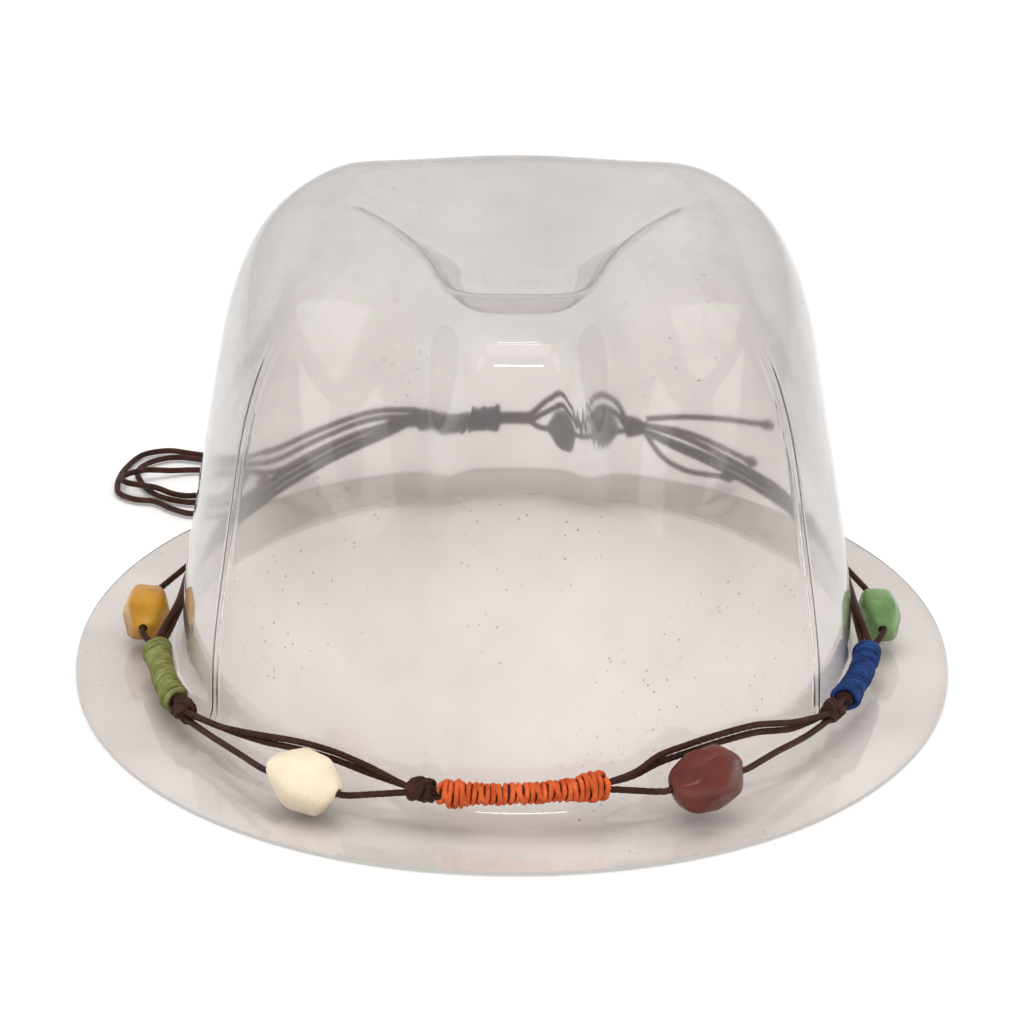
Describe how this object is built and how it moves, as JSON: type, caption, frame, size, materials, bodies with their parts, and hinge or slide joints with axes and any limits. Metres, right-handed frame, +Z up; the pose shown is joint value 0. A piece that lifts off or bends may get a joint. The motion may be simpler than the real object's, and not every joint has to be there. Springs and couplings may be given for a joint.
{
  "type": "hat display form with hatband",
  "caption": "Clear moulded hat-shaped display form with a pinched crown and a narrow flat brim, carrying an adjustable cord hatband with nugget beads and wound cord wraps.",
  "frame": {"origin": "middle of the brim's oval, on the brim's flat underside", "axes": "+Z up; -Y towards the front pinch of the crown; +X to the right seen from the front"},
  "size_m": [0.222, 0.2596, 0.118],
  "materials": {
    "clear_plastic": "clear, moulded, lightly scuffed",
    "waxed_cord": "waxed cotton cord",
    "olive_thread": "wound cord",
    "orange_thread": "wound cord",
    "blue_thread": "wound cord",
    "navy_thread": "wound cord",
    "yellow_resin": "polished",
    "cream_resin": "polished",
    "red_brown_resin": "polished",
    "green_resin": "polished",
    "grey_resin": "polished"
  },
  "bodies": {
    "form": {"hat_form": "clear_plastic"},
    "band": {"strand_main": "waxed_cord", "strand_upper": "waxed_cord", "strand_inner": "waxed_cord", "wrap_olive": "olive_thread", "wrap_orange": "orange_thread", "wrap_blue": "blue_thread", "knot_left": "waxed_cord", "knot_front": "waxed_cord", "knot_right": "waxed_cord", "knot_back_left": "waxed_cord", "knot_back_right": "waxed_cord", "tail_left_outer": "waxed_cord", "tail_left_inner": "waxed_cord", "tail_left_middle": "waxed_cord", "tail_right_upper": "waxed_cord", "tail_right_middle": "waxed_cord", "tail_right_lower": "waxed_cord", "tail_left_outer_knot": "waxed_cord", "tail_left_inner_knot": "waxed_cord", "tail_left_middle_knot": "waxed_cord", "tail_right_upper_knot": "waxed_cord", "tail_right_middle_knot": "waxed_cord", "tail_right_lower_knot": "waxed_cord"},
    "bead_yellow": {"bead_yellow": "yellow_resin"},
    "bead_cream": {"bead_cream": "cream_resin"},
    "bead_red_brown": {"bead_red_brown": "red_brown_resin"},
    "bead_green": {"bead_green": "green_resin"},
    "bead_grey": {"bead_grey": "grey_resin"},
    "closure": {"closure_wrap": "navy_thread"}
  },
  "joints": [
    {"name": "band_lift", "type": "slide", "parent": "form", "child": "band", "axis": [0, 0, 1], "range_m": [0, 0.15]},
    {"name": "bead_yellow_spin", "type": "hinge", "parent": "band", "child": "bead_yellow", "pos_m": [-0.09352, 0.00539, 0.0092], "axis": [-0.0435, -0.9991, 0], "continuous": true},
    {"name": "bead_cream_spin", "type": "hinge", "parent": "band", "child": "bead_cream", "pos_m": [-0.04969, -0.09354, 0.0094], "axis": [0.8161, -0.5779, 0], "continuous": true},
    {"name": "bead_red_brown_spin", "type": "hinge", "parent": "band", "child": "bead_red_brown", "pos_m": [0.04621, -0.09605, 0.0116], "axis": [0.8532, 0.5217, 0], "continuous": true},
    {"name": "bead_green_spin", "type": "hinge", "parent": "band", "child": "bead_green", "pos_m": [0.09386, 0.00687, 0.0091], "axis": [-0.0563, 0.9984, 0], "continuous": true},
    {"name": "bead_grey_spin", "type": "hinge", "parent": "band", "child": "bead_grey", "pos_m": [0.0172, 0.1027, 0.0214], "axis": [-0.9945, 0.1045, 0], "continuous": true},
    {"name": "closure_slide", "type": "slide", "parent": "band", "child": "closure", "axis": [1, 0, 0], "range_m": [0, 0.006]}
  ]
}
